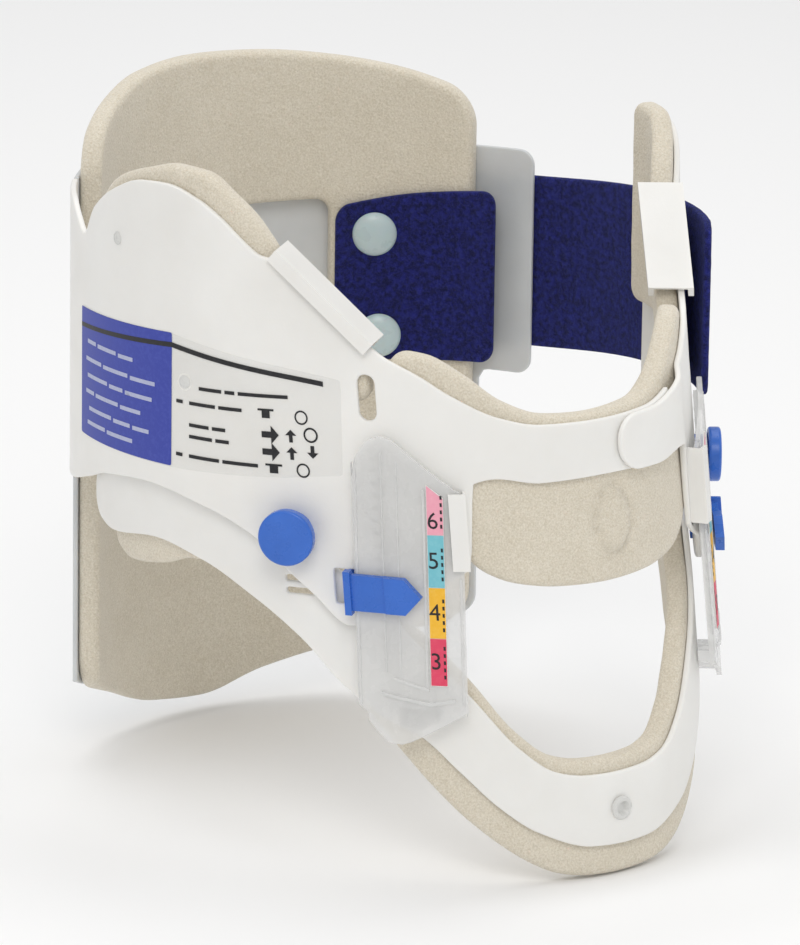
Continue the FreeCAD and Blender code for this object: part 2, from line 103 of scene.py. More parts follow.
def curve(points):
    """A smooth function of s through (s, value) points, with no overshoot."""
    n = len(points)
    slopes = [(points[i + 1][1] - points[i][1]) / (points[i + 1][0] - points[i][0])
              for i in range(n - 1)]
    tangents = [slopes[0]]
    for a, b in zip(slopes, slopes[1:]):
        tangents.append(2 * a * b / (a + b) if a * b > 0 else 0.0)
    tangents.append(slopes[-1])

    def value(s):
        if s <= points[0][0]:
            return points[0][1]
        if s >= points[-1][0]:
            return points[-1][1]
        i = max(k for k in range(n - 1) if points[k][0] <= s)
        (s0, v0), (s1, v1) = points[i], points[i + 1]
        h = s1 - s0
        t = (s - s0) / h
        return ((1 + 2 * t) * (1 - t) ** 2 * v0 + t * (1 - t) ** 2 * h * tangents[i]
                + t * t * (3 - 2 * t) * v1 + t * t * (t - 1) * h * tangents[i + 1])
    return value


def both_sides(points):
    return [(-s, v) for s, v in reversed(points) if s > 0] + points


def left(points):
    return [(-s, v) for s, v in reversed(points)]


# ---------------------------------------------------------------- profiles, as (s, z)
BAND_TOP = both_sides([(0, 91), (16, 91.4), (26, 93.6), (37, 99), (44, 103.5), (52, 107.6)])
BAND_LOW = both_sides([(0, 78), (17, 77.8), (28, 79.4), (33.0, 78.4)])
SIDE_TOP = [(53, 108.3), (60, 114.5), (75, 128.7), (81, 129.5), (87, 133), (94, 137.7),
            (103, 142), (113, 144.4), (122, 143.7)]
SIDE_LOW = [(35.2, 58.5), (48, 52), (56, 45), (65, 43.5), (73, 50.2), (78, 54.5), (87, 62.6),
            (99, 67.7), (118, 71), (136, 69)]
EAR_BACK = [(132, 140), (143, 133), (150, 125), (157, 128), (165, 131), (180, 131.5)]
BACK_LOW = [(147, 65.5), (165, 61), (180, 60)]
EAR_PAD_TOP = [(56, 109), (75, 127.8), (78.5, 132.5), (84, 138.2), (92, 143.0), (103, 148.0),
               (113, 148.5), (122, 146.5)]
ARM_TOP = both_sides([(0, 6.5), (9, 6.8), (17, 8.4), (26.5, 15), (37, 27), (50, 40), (60, 49.5),
                      (70, 58), (80, 66), (100, 74), (120, 76), (140, 71.5), (148, 67.5)])
ARM_LOW = both_sides([(0, -10.5), (9, -10.1), (23, -5.4), (32.3, 1), (41, 9.3), (50, 17.5),
                      (58, 21), (68.6, 28.7), (77.5, 38.6), (89, 47.2), (103, 54), (118, 56.8),
                      (138, 54.4), (148, 57)])
LOWER_PAD_TOP = both_sides([(0, 9.5), (9, 9.8), (17, 11.4), (26.5, 18), (37, 30), (50, 42),
                            (60, 49.5), (70, 57), (80, 65), (100, 72), (120, 74), (137, 70),
                            (142, 66)])
LOWER_PAD_LOW = both_sides([(0, -18), (8, -17.8), (16.5, -16.6), (24, -13.8), (37.5, -5),
                            (51, 7.5), (66, 25.3), (77.5, 38.4), (89, 46.8), (101, 53.2),
                            (108, 53), (119, 49.8), (132, 48), (138, 50), (142, 55)])
CHIN_PAD_TOP = both_sides([(0, 92.2), (14, 93), (24, 96.5), (34, 103.5), (42, 107.6), (52, 109)])
CHIN_PAD_LOW = both_sides([(0, 52), (13, 52.4), (24, 53.9), (32, 57), (38, 63), (45, 72),
                           (52, 82)])
REAR_TOP = [(180, 138), (190, 143), (201, 147), (217, 151), (236, 152.4), (257, 151.6),
            (278, 149.3), (296, 146), (316, 140)]
REAR_LOW = [(180, 3), (202, -4.5), (222, -11.5), (241, -13.6), (260, -9), (280, -4.5), (316, 3)]


# ---------------------------------------------------------------- outlines
def ends(s0, s1, radius, step, extra=()):
    """Places along s: close together round the two end corners, even between."""
    turn = [radius * (1 - math.cos(math.radians(a))) for a in range(0, 90, 10)] if radius else [0]
    a, b = s0 + radius, s1 - radius
    count = max(int((b - a) / step), 1)
    middle = [a + (b - a) * i / count for i in range(count + 1)]
    places = [s0 + t for t in turn] + middle + [s1 - t for t in reversed(turn)]
    places = sorted(set(round(p, 4) for p in places + [e for e in extra if a < e < b]))
    kept = [places[0]]
    for p in places[1:]:
        if p - kept[-1] > 0.02:
            kept.append(p)
    return kept


def rounded(value, s0, s1, radius, sign):
    def corner(s):
        inset = max(s0 + radius - s, s - (s1 - radius), 0.0)
        drop = radius - math.sqrt(max(radius * radius - min(inset, radius) ** 2, 0.0))
        return value(s) - sign * drop
    return corner


def between(low, high, s0, s1, radius=0.0, step=1.5, extra=()):
    """The closed outline between two profiles, with round end corners."""
    low = low if callable(low) else (lambda s, v=low: v)
    high = high if callable(high) else (lambda s, v=high: v)
    if radius:
        low, high = rounded(low, s0, s1, radius, -1), rounded(high, s0, s1, radius, 1)
    places = ends(s0, s1, radius, step, extra)
    return densify([(s, low(s)) for s in places] + [(s, high(s)) for s in reversed(places)], 2.2)


def notched(value, half_width, level):
    """A top profile cut down to a level round both locks."""
    def cut(s):
        return min(value(s), level) if abs(abs(s) - LOCK_S) < half_width else value(s)
    return cut


def notch_places(half_width):
    return [side * (LOCK_S + end * half_width + step) for side in (-1, 1) for end in (-1, 1)
            for step in (-0.05, 0.05)]


def densify(points, most):
    """Adds points on long straight runs of a closed outline."""
    out = []
    for a, b in zip(points, points[1:] + points[:1]):
        d = math.hypot(b[0] - a[0], b[1] - a[1])
        if d < 1e-4:
            continue
        n = max(int(math.ceil(d / most)), 1)
        out += [(a[0] + (b[0] - a[0]) * i / n, a[1] + (b[1] - a[1]) * i / n) for i in range(n)]
    return out


def round_box(s0, s1, z0, z1, r, steps=6):
    out = []
    for cs, cz, a0 in ((s1 - r, z0 + r, -90), (s1 - r, z1 - r, 0),
                       (s0 + r, z1 - r, 90), (s0 + r, z0 + r, 180)):
        for i in range(steps + 1):
            a = math.radians(a0 + 90 * i / steps)
            out.append((cs + r * math.cos(a), cz + r * math.sin(a)))
    return densify(out, 2.2)


def disc(s, z, r, count=28):
    return [(s + r * math.cos(2 * math.pi * i / count), z + r * math.sin(2 * math.pi * i / count))
            for i in range(count)]


def fillet(points, radii, steps=6):
    """Corner points with a radius each (or one for all) as a rounded closed outline."""
    n = len(points)
    radii = radii if hasattr(radii, "__len__") else [radii] * n
    out = []
    for i in range(n):
        p, a, b = (Vector(points[k % n]) for k in (i, i - 1, i + 1))
        u, v = (a - p).normalized(), (b - p).normalized()
        half = math.acos(max(min(u.dot(v), 1), -1)) / 2
        reach = radii[i] / max(math.tan(half), 1e-3)
        reach = min(reach, (a - p).length * 0.45, (b - p).length * 0.45)
        r = reach * math.tan(half)
        if r < 0.05 or half > math.radians(88):
            out.append(tuple(p))
            continue
        start, end = p + u * reach, p + v * reach
        for k in range(steps + 1):      # a quadratic blend close to the arc
            t = k / steps
            out.append(tuple(start * (1 - t) ** 2 + p * 2 * t * (1 - t) + end * t * t))
    return densify(out, 2.2)


def area_of(loop):
    return 0.5 * sum(a[0] * b[1] - b[0] * a[1] for a, b in zip(loop, loop[1:] + loop[:1]))


def inset_loop(loop, distance):
    """A closed anticlockwise loop moved inward (to its left) by a distance."""
    n = len(loop)
    out = []
    for i in range(n):
        p, a, b = Vector(loop[i]), Vector(loop[i - 1]), Vector(loop[(i + 1) % n])
        e0, e1 = (p - a), (b - p)
        if e0.length < 1e-6 or e1.length < 1e-6:
            out.append(tuple(p))
            continue
        n0 = Vector((-e0.y, e0.x)).normalized()
        n1 = Vector((-e1.y, e1.x)).normalized()
        m = n0 + n1
        m = m.normalized() if m.length > 1e-6 else n0
        out.append(tuple(p + m * (distance / max(m.dot(n0), 0.6))))
    return out


def inside(points, loop):
    """Which of the points lie inside the loop, as a numpy mask."""
    pts, poly = np.asarray(points), np.asarray(loop)
    hit = np.zeros(len(pts), bool)
    j = len(poly) - 1
    for i in range(len(poly)):
        (xi, yi), (xj, yj) = poly[i], poly[j]
        if yi != yj:
            cross = (yi > pts[:, 1]) != (yj > pts[:, 1])
            at = (xj - xi) * (pts[:, 1] - yi) / (yj - yi) + xi
            hit ^= cross & (pts[:, 0] < at)
        j = i
    return hit


def fill(loops, grid):
    """Triangles over the first loop less the others. Returns extra points and triangles over all
    points, numbered loops first."""
    flat = [p for loop in loops for p in loop]
    starts, at = [], 0
    for loop in loops:
        starts.append(at)
        at += len(loop)
    edges = [(st + i, st + (i + 1) % len(lp)) for st, lp in zip(starts, loops)
             for i in range(len(lp))]
    outer = np.asarray(loops[0])
    lo, hi = outer.min(0), outer.max(0)
    extra = []
    rows = int((hi[1] - lo[1]) / grid) + 1
    for r in range(1, rows):
        z = lo[1] + (hi[1] - lo[1]) * r / rows
        shift = 0.5 * grid if r % 2 else 0.0
        s = lo[0] + shift + 0.3 * grid
        while s < hi[0]:
            extra.append((s, z))
            s += grid
    if extra:
        keep = inside(extra, loops[0])
        for hole in loops[1:]:
            keep &= ~inside(extra, hole)
        pts = np.asarray(extra)
        rim = np.asarray(flat)
        near = np.array([np.min(np.sum((rim - p) ** 2, 1)) for p in pts])
        keep &= near > (0.55 * grid) ** 2
        extra = [tuple(p) for p, k in zip(extra, keep) if k]
    allp = [Vector(p) for p in flat + extra]
    verts, _, faces, origin, _, _ = delaunay_2d_cdt(allp, edges, [], 0, 1e-7, True)
    number = [o[0] if o else -1 for o in origin]
    tris = []
    mids = np.array([(sum(verts[k].x for k in f) / len(f), sum(verts[k].y for k in f) / len(f))
                     for f in faces])
    keep = inside(mids, loops[0])
    for hole in loops[1:]:
        keep &= ~inside(mids, hole)
    for f, k in zip(faces, keep):
        ids = [number[i] for i in f]
        if k and min(ids) >= 0 and len(set(ids)) == len(ids):
            tris.append(ids)
    return extra, tris


# ---------------------------------------------------------------- panels
def finish_mesh(name, bm, body, material, smooth=40):
    bmesh.ops.recalc_face_normals(bm, faces=bm.faces)
    mesh = bpy.data.meshes.new(name)
    bm.to_mesh(mesh)
    bm.free()
    for p in mesh.polygons:
        p.use_smooth = True
    mesh.set_sharp_from_angle(angle=math.radians(smooth))
    obj = bpy.data.objects.new(name, mesh)
    bpy.context.scene.collection.objects.link(obj)
    if material:
        mesh.materials.append(material)
    if body:
        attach(obj, body)
    return obj


def panel(name, outline, inner, outer, body, material, holes=(), edge=0.4, steps=3, grid=4.0,
          place=wall, ripple=None, smooth=40):
    """A sheet over an outline in s and z, between two offsets, with rounded rims."""
    inner = inner if callable(inner) else (lambda s, z, v=inner: v)
    outer = outer if callable(outer) else (lambda s, z, v=outer: v)
    loops = [list(outline) if area_of(outline) > 0 else list(reversed(outline))]
    for hole in holes:      # clockwise, so that inset goes into the material
        loops.append(list(hole) if area_of(hole) < 0 else list(reversed(hole)))
    curl = []               # (inset, depth) in mm round the quarter turn of a rim
    for k in range(steps + 1):
        a = math.pi / 2 * k / steps
        curl.append((edge * (1 - math.sin(a)), edge * (1 - math.cos(a))))
    profile = [(e, d, "in") for e, d in curl] + [(e, d, "out") for e, d in reversed(curl)]
    bm = bmesh.new()
    uv = bm.loops.layers.uv.new("wall")
    coords = {}

    def vert(s, z, offset):
        if ripple:
            offset += ripple(s, z, offset)
        v = bm.verts.new(place(s, z, offset))
        coords[v] = (s * 0.01, z * 0.01)
        return v

    ring_verts = []         # [ring][loop][point]
    for e, d, where in profile:
        row = []
        for loop in loops:
            moved = inset_loop(loop, e)
            row.append([vert(s, z, inner(s, z) + d if where == "in" else outer(s, z) - d)
                        for s, z in moved])
        ring_verts.append(row)
    # profile runs from the inner face's rim to the wall side, then to the outer face's rim
    for a, b in zip(ring_verts, ring_verts[1:]):
        for la, lb in zip(a, b):
            n = len(la)
            for i in range(n):
                j = (i + 1) % n
                bm.faces.new((la[i], la[j], lb[j], lb[i]))
    rim = [inset_loop(loop, profile[0][0]) for loop in loops]
    extra, tris = fill(rim, grid)
    for where, row in (("in", ring_verts[0]), ("out", ring_verts[-1])):
        allv = [v for loop in row for v in loop]
        allv += [vert(s, z, inner(s, z) if where == "in" else outer(s, z)) for s, z in extra]
        for t in tris:
            try:
                bm.faces.new([allv[i] for i in t])
            except ValueError:
                pass
    bm.faces.ensure_lookup_table()
    for f in bm.faces:
        for lp in f.loops:
            lp[uv].uv = coords[lp.vert]
    return finish_mesh(name, bm, body, material, smooth)


def decal(name, outline, offset, body, material, grid=4.0, holes=(), place=wall):
    """A printed or moulded area, one face thick, just above a surface."""
    outline = densify(list(outline), 1.6)
    loops = [outline if area_of(outline) > 0 else list(reversed(outline))]
    loops += [list(h) for h in holes]
    extra, tris = fill(loops, grid)
    bm = bmesh.new()
    pts = [p for loop in loops for p in loop] + extra
    verts = [bm.verts.new(place(s, z, offset)) for s, z in pts]
    for t in tris:
        bm.faces.new([verts[i] for i in t])
    obj = finish_mesh(name, bm, body, material, 60)
    polygons = obj.data.polygons
    if polygons:            # a decal faces away from the neck's axis
        middle = polygons[len(polygons) // 2]
        at = middle.center
        if middle.normal.x * at.x + middle.normal.y * (at.y + 0.02) < 0:
            obj.data.flip_normals()
    return obj


# ---------------------------------------------------------------- materials
def principled(name, **values):
    m = bpy.data.materials.new(name)
    m.use_nodes = True
    b = m.node_tree.nodes["Principled BSDF"]
    for key, v in values.items():
        b.inputs[key].default_value = v
    return m, m.node_tree, b


def node(tree, kind, **values):
    n = tree.nodes.new(kind)
    for key, v in values.items():
        if key in n.inputs:
            n.inputs[key].default_value = v
        else:
            setattr(n, key, v)
    return n


def position(tree):
    return tree.nodes.new("ShaderNodeTexCoord").outputs["Object"]


def noise_node(tree, scale, detail=3.0, rough=0.55, where=None):
    n = node(tree, "ShaderNodeTexNoise", Scale=scale, Detail=detail, Roughness=rough)
    tree.links.new(where or position(tree), n.inputs["Vector"])
    return n


def ramp(tree, source, stops):
    r = tree.nodes.new("ShaderNodeValToRGB")
    r.color_ramp.elements[0].position, r.color_ramp.elements[0].color = stops[0][0], stops[0][1]
    r.color_ramp.elements[1].position, r.color_ramp.elements[1].color = stops[-1][0], stops[-1][1]
    for pos, col in stops[1:-1]:
        e = r.color_ramp.elements.new(pos)
        e.color = col
    tree.links.new(source, r.inputs["Fac"])
    return r


def grey(v):
    return (v, v, v, 1)


def bumps(tree, shader, layers):
    """Stacks bump nodes: (height output, strength, distance in metres)."""
    last = None
    for height, strength, distance in layers:
        b = node(tree, "ShaderNodeBump", Strength=strength, Distance=distance)
        tree.links.new(height, b.inputs["Height"])
        if last:
            tree.links.new(last, b.inputs["Normal"])
        last = b.outputs["Normal"]
    tree.links.new(last, shader.inputs["Normal"])


def shell_plastic(name, light, dark, roughness=(0.3, 0.46), subsurface=0.12, alpha=1.0):
    """Moulded polyethylene: faint cloudy colour, satin patches, a fine moulded texture."""
    m, t, b = principled(name, **{"Subsurface Weight": subsurface, "Subsurface Scale": 0.004,
                                  "Subsurface Radius": (1.0, 0.85, 0.7), "IOR": 1.5,
                                  "Specular IOR Level": 0.45, "Alpha": alpha})
    cloud = noise_node(t, 38, 4)
    colour = ramp(t, cloud.outputs["Fac"], [(0.3, dark), (0.7, light)])
    t.links.new(colour.outputs["Color"], b.inputs["Base Color"])
    patch = noise_node(t, 120, 3)
    rough = ramp(t, patch.outputs["Fac"], [(0.3, grey(roughness[0])), (0.7, grey(roughness[1]))])
    t.links.new(rough.outputs["Color"], b.inputs["Roughness"])
    grain = noise_node(t, 1500, 2)
    wave = noise_node(t, 70, 2)
    bumps(t, b, [(wave.outputs["Fac"], 0.35, 0.0006), (grain.outputs["Fac"], 0.22, 0.0001)])
    return m


def foam_material(name, light, dark):
    """Closed-cell foam: a fine speckle of cells, matt, with a soft nap."""
    m, t, b = principled(name, **{"Roughness": 0.92, "Sheen Weight": 0.25, "Sheen Roughness": 0.5,
                                  "Specular IOR Level": 0.2, "Subsurface Weight": 0.08,
                                  "Subsurface Scale": 0.003,
                                  "Subsurface Radius": (1.0, 0.8, 0.6)})
    cells = noise_node(t, 2300, 3, 0.7)
    blotch = noise_node(t, 90, 3)
    mixed = node(t, "ShaderNodeMath", operation="MULTIPLY_ADD")
    t.links.new(cells.outputs["Fac"], mixed.inputs[0])
    mixed.inputs[1].default_value = 0.8
    half = node(t, "ShaderNodeMath", operation="MULTIPLY")
    t.links.new(blotch.outputs["Fac"], half.inputs[0])
    half.inputs[1].default_value = 0.12
    t.links.new(half.outputs[0], mixed.inputs[2])
    colour = ramp(t, mixed.outputs[0], [(0.34, dark), (0.58, light)])
    t.links.new(colour.outputs["Color"], b.inputs["Base Color"])
    pores = node(t, "ShaderNodeTexVoronoi", Scale=1500.0, Randomness=1.0)
    t.links.new(position(t), pores.inputs["Vector"])
    soft = noise_node(t, 260, 3)
    bumps(t, b, [(soft.outputs["Fac"], 0.35, 0.0005), (pores.outputs["Distance"], 0.5, 0.00035)])
    return m


def pile_material(name, painted_gap_shade, painted_tip_light):
    """Brushed loop pile: tangled fibres, with painted shade deep in the gaps and a painted highlight
    paler at the tips.
    """
    m, t, b = principled(name, **{"Roughness": 0.85, "Sheen Weight": 0.35, "Sheen Roughness": 0.4,
                                  "Sheen Tint": (0.35, 0.42, 0.95, 1),
                                  "Specular IOR Level": 0.15})
    warp = noise_node(t, 700, 2)
    bend = node(t, "ShaderNodeMix", data_type="RGBA", blend_type="LINEAR_LIGHT")
    bend.inputs["Factor"].default_value = 0.004
    t.links.new(position(t), bend.inputs["A"])
    t.links.new(warp.outputs["Color"], bend.inputs["B"])
    fibre = noise_node(t, 2200, 5, 0.75, bend.outputs["Result"])
    tuft = noise_node(t, 750, 3, 0.65)
    both = node(t, "ShaderNodeMath", operation="ADD")
    t.links.new(fibre.outputs["Fac"], both.inputs[0])
    t.links.new(tuft.outputs["Fac"], both.inputs[1])
    # the colour follows the same noise as the bump: painted shade in the low gaps, painted highlight
    # on the raised tips
    colour = ramp(t, both.outputs[0], [(0.30, painted_gap_shade), (0.44, painted_gap_shade), (0.62, painted_tip_light)])
    half = node(t, "ShaderNodeMath", operation="MULTIPLY")
    t.links.new(both.outputs[0], half.inputs[0])
    half.inputs[1].default_value = 0.5
    t.links.new(half.outputs[0], colour.inputs["Fac"])
    t.links.new(colour.outputs["Color"], b.inputs["Base Color"])
    bumps(t, b, [(tuft.outputs["Fac"], 0.7, 0.0010), (fibre.outputs["Fac"], 1.0, 0.0007)])
    return m


def gloss_material(name, light, dark, roughness=(0.22, 0.38), alpha=1.0, **more):
    m, t, b = principled(name, **{"IOR": 1.5, "Alpha": alpha, **more})
    cloud = noise_node(t, 90, 3)
    colour = ramp(t, cloud.outputs["Fac"], [(0.3, dark), (0.7, light)])
    t.links.new(colour.outputs["Color"], b.inputs["Base Color"])
    patch = noise_node(t, 300, 3)
    rough = ramp(t, patch.outputs["Fac"], [(0.3, grey(roughness[0])), (0.7, grey(roughness[1]))])
    t.links.new(rough.outputs["Color"], b.inputs["Roughness"])
    grain = noise_node(t, 900, 2)
    bumps(t, b, [(grain.outputs["Fac"], 0.15, 0.0001)])
    return m


def print_material(name, ink, faded):
    """Ink: slightly uneven, a little faded in places."""
    m, t, b = principled(name, **{"Specular IOR Level": 0.4})
    wear = noise_node(t, 900, 4, 0.7)
    colour = ramp(t, wear.outputs["Fac"], [(0.45, ink), (0.75, faded)])
    t.links.new(colour.outputs["Color"], b.inputs["Base Color"])
    rough = ramp(t, wear.outputs["Fac"], [(0.3, grey(0.38)), (0.7, grey(0.55))])
    t.links.new(rough.outputs["Color"], b.inputs["Roughness"])
    return m


WHITE = shell_plastic("shell_white", (0.86, 0.85, 0.82, 1), (0.81, 0.795, 0.76, 1))
REAR = shell_plastic("rear_white", (0.66, 0.68, 0.69, 1), (0.58, 0.60, 0.615, 1),
                     subsurface=0.25, alpha=0.93)
CLEAR = gloss_material("rack_frosted", (0.84, 0.84, 0.83, 1), (0.77, 0.77, 0.765, 1),
                       roughness=(0.2, 0.34), alpha=0.5)
FILM = gloss_material("print_film", (0.74, 0.74, 0.72, 1), (0.71, 0.71, 0.69, 1),
                      roughness=(0.12, 0.22), alpha=0.16)
PAD = foam_material("foam_cream", (0.76, 0.705, 0.60, 1), (0.60, 0.54, 0.43, 1))
# each pile's first colour is painted shade for its gaps, the second a painted highlight for its tips
PILE = pile_material("strap_pile", (0.005, 0.005, 0.06, 1), (0.03, 0.036, 0.34, 1))
HOOK = pile_material("hook_pile", (0.006, 0.008, 0.05, 1), (0.02, 0.03, 0.16, 1))
BLUE = gloss_material("blue_moulded", (0.035, 0.15, 0.60, 1), (0.025, 0.12, 0.50, 1))
RIVET = gloss_material("rivet_pale", (0.52, 0.63, 0.65, 1), (0.47, 0.58, 0.60, 1),
                       **{"Subsurface Weight": 0.2, "Subsurface Scale": 0.002})
PIN = gloss_material("pin_pale", (0.70, 0.70, 0.68, 1), (0.62, 0.62, 0.60, 1))
INK_BLUE = print_material("ink_blue", (0.035, 0.055, 0.36, 1), (0.06, 0.085, 0.42, 1))
INK_BLACK = print_material("ink_black", (0.012, 0.012, 0.014, 1), (0.03, 0.03, 0.033, 1))
INK_WHITE = print_material("ink_pale", (0.45, 0.48, 0.66, 1), (0.38, 0.41, 0.60, 1))
SCALE_INKS = [print_material("scale_pink", (0.84, 0.36, 0.46, 1), (0.86, 0.42, 0.50, 1)),
              print_material("scale_teal", (0.18, 0.52, 0.60, 1), (0.24, 0.57, 0.64, 1)),
              print_material("scale_amber", (0.88, 0.48, 0.03, 1), (0.90, 0.54, 0.08, 1)),
              print_material("scale_red", (0.74, 0.06, 0.13, 1), (0.76, 0.10, 0.16, 1))]


# ---------------------------------------------------------------- soft shapes
def foam_ripple(seed, amount=0.35):
    """The gentle unevenness of cut foam, in mm, mostly on the free inner face."""
    def ripple(s, z, offset):
        v = noise.noise(Vector((s * 0.045, z * 0.045, seed))) * amount
        v += noise.noise(Vector((s * 0.16, z * 0.16, seed + 5))) * amount * 0.35
        return v * min(max(-offset / FOAM, 0.0), 1.6)
    return ripple


def soft_pad(name, outline, inner, outer, body, cad_node, holes=(), seed=1.0, extra=None,
             grid=3.0):
    """A cut foam sheet with soft rims, which stands for a plain CAD pad."""
    ripple = foam_ripple(seed)
    both = (lambda s, z, o: ripple(s, z, o) + extra(s, z, o)) if extra else ripple
    obj = panel(name, outline, inner, outer, body, PAD, holes=holes, edge=1.9, steps=5, grid=grid,
                ripple=both, smooth=80)
    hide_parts(cad_node)
    return obj


# ---------------------------------------------------------------- build: shells
LATCH_LEVEL, LOCK_S, LOCK_LEVEL, LEFT_ARM_END, GAP = 52.7, 77.0, 64.8, -100.0, 0.15


def stadium(s0, s1, z0, z1):
    return round_box(s0, s1, z0, z1, (s1 - s0) / 2 - 0.01)


def shell_holes(side):
    holes = [stadium(54.4, 58.6, 92.4, 103.2),
             round_box(61.8, 67.6, LATCH_LEVEL - 4.2, LATCH_LEVEL + 4.2, 0.6, 2),
             disc(LOCK_S, LOCK_LEVEL, 3.8)]
    return [[(side * s, z) for s, z in hole] for hole in holes]


corner_places = [p[0] for p in SIDE_TOP + SIDE_LOW + EAR_BACK]
right_outline = between(curve(BAND_LOW + SIDE_LOW + BACK_LOW),
                        curve(BAND_TOP + SIDE_TOP + EAR_BACK), -26, 179.6, 0,
                        1.4, [33.0, 33.6, 34.4, 35.2] + corner_places)
right_shell = panel("right_shell_skin", right_outline, 0, SHELL, "front", WHITE,
                    holes=shell_holes(1), edge=0.45)
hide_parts("right_shell")

left_low = curve([(-116, 71)] + left(SIDE_LOW)[2:] + BAND_LOW)
left_high = curve([(-116, 142.0), (-112, 143.2)] + left(SIDE_TOP)[2:] + BAND_TOP)


def tongue_lift(s, z=0.0):
    t = min(max((s + 35.2) / 5.8, 0.0), 1.0)
    return (SHELL + 0.25) * t * t * (3 - 2 * t)


left_outline = between(rounded(left_low, -200, -4, 6.1, -1), rounded(left_high, -200, -4, 6.1, 1),
                       -116, -4, 0, 1.3,
                       [-35.2, -34.4, -33.6, -33.0]
                       + [-4 - 6.1 * (1 - math.cos(math.radians(a))) for a in range(10, 90, 10)])
left_shell = panel("left_shell_skin", left_outline, tongue_lift,
                   lambda s, z: tongue_lift(s) + SHELL, "front", WHITE, holes=shell_holes(-1),
                   edge=0.45)
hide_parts("left_shell")


def local_frame(s, z, offset=0.0):
    """Matrix at a place on the wall: x along +s, y up the wall, z outward, in metres."""
    p = wall(s, z, offset)
    out = (wall(s, z, offset + 1) - p).normalized()
    up = (wall(s, z + 1, offset) - p)
    up = (up - out * up.dot(out)).normalized()
    along = up.cross(out)
    m = Matrix((along, up, out)).transposed().to_4x4()
    m.translation = p
    return m


def turned(name, profile, s, z, body, material, segments=48, smooth=35):
    """A round moulded piece: profile is (radius, offset) in mm, turned about the wall's normal."""
    bm = bmesh.new()
    rings = []
    base = local_frame(s, z, 0.0)
    for r, o in profile:
        if r < 1e-4:
            rings.append([bm.verts.new(base @ Vector((0, 0, o * 0.001)))])
        else:
            rings.append([bm.verts.new(base @ Vector((
                r * math.cos(2 * math.pi * i / segments) * 0.001,
                r * math.sin(2 * math.pi * i / segments) * 0.001, o * 0.001)))
                for i in range(segments)])
    for a, b in zip(rings, rings[1:]):
        n = max(len(a), len(b))
        for i in range(n):
            j = (i + 1) % n
            if len(a) == 1:
                bm.faces.new((a[0], b[i], b[j]))
            elif len(b) == 1:
                bm.faces.new((a[i], a[j], b[0]))
            else:
                bm.faces.new((a[i], a[j], b[j], b[i]))
    return finish_mesh(name, bm, body, material, smooth)


for side, word in ((1, "right"), (-1, "left")):
    turned(word + "_lock_collar", [(3.8, 1.0), (4.9, 1.0), (4.9, 3.9), (4.6, 4.2), (4.1, 4.2),
                                   (3.8, 3.9), (3.8, 1.0)],
           side * LOCK_S, LOCK_LEVEL, "front", BLUE)

# ---------------------------------------------------------------- build: rear panel
rear_low = curve([(s, z + 1.0) for s, z in REAR_LOW])
rear_high = curve([(180, 131.5), (220, 133), (290, 131), (312, 126.5), (331, 126)])


def rear_outline():
    body_low = rounded(rear_low, 170, 317, 5, -1)
    tab_low = rounded(lambda s: 68.5, 290, 331, 4, -1)
    tab_high = rounded(lambda s: 126.3, 290, 331, 4, 1)
    out = [(s, body_low(s)) for s in ends(180.4, 317, 5, 1.6)]
    out += [(317.0, z) for z in (16, 30, 45, 58, 66)]
    out += [(318.2, 68.2)] + [(s, tab_low(s)) for s in ends(319.5, 331, 4, 1.6)]
    out += [(s, tab_high(s)) for s in reversed(ends(312, 331, 4, 1.6))]
    out += [(s, rear_high(s)) for s in reversed(ends(180.4, 311, 0, 1.6))]
    return densify(out, 2.4)


RIVETS = ((289.5, 104.0), (291.0, 77.8))
rear_shell = panel("rear_shell_skin", rear_outline(), 0, REAR_SHELL, "rear", REAR,
                   holes=[disc(s, z, 2.0, 20) for s, z in RIVETS], edge=0.4)
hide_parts("rear_shell")

# ---------------------------------------------------------------- build: foam
window = round_box(214, 277.5, 62, 112.5, 4)
soft_pad("rear_foam", between(curve(REAR_LOW), curve(REAR_TOP), 180.6, 316, 8, 1.6), -FOAM, -GAP,
         "rear", "rear_pad", holes=[window] + [disc(s, z, 2.2, 20) for s, z in RIVETS], seed=1.0)
ear_top = curve(EAR_PAD_TOP + [(134, 142.3), (143, 135), (150, 124)])
soft_pad("right_ear_foam", between(lambda s: 96.0, ear_top, 56, 149, 4, 1.6), -FOAM, -GAP,
         "front", "right_ear_pad", seed=2.0)
left_ear_top = curve([(s, z - 2.2 * (z > 130)) for s, z in EAR_PAD_TOP])
left_ear = [(-s, z) for s, z in between(lambda s: 96.0, left_ear_top, 56, 114, 4, 1.6)]
soft_pad("left_ear_foam", left_ear, -FOAM, -GAP, "front", "left_ear_pad", seed=3.0)


def chin_bump(s, z, offset):
    """The oval boss moulded on the outer face of the chin pad, under the band."""
    if offset < -2.0:
        return 0.0
    r = math.hypot((s + 3.1) / 4.7, (z - 66.4) / 6.6)
    rise = 1.0 / (1.0 + math.exp((r - 1.0) * 22))
    groove = math.exp(-((r - 1.22) / 0.13) ** 2)
    return 1.3 * rise - 0.9 * groove


soft_pad("chin_foam", between(curve(CHIN_PAD_LOW), curve(CHIN_PAD_TOP), -52, 52, 6, 1.6), -FOAM,
         lambda s, z: -GAP, "front", "chin_pad", seed=4.0, extra=chin_bump, grid=1.6)
inner = -ARM_GAP - SHELL
lower_pad_top = notched(curve(LOWER_PAD_TOP), 5.5, 46.0)
soft_pad("sternum_foam", between(curve(LOWER_PAD_LOW), lower_pad_top, LEFT_ARM_END + 5, 142, 4, 1.6,
                                 notch_places(5.5)), inner - FOAM, inner - GAP, "sternum",
         "sternum_pad", holes=[disc(0, -2, 2.0, 20)], seed=5.0)

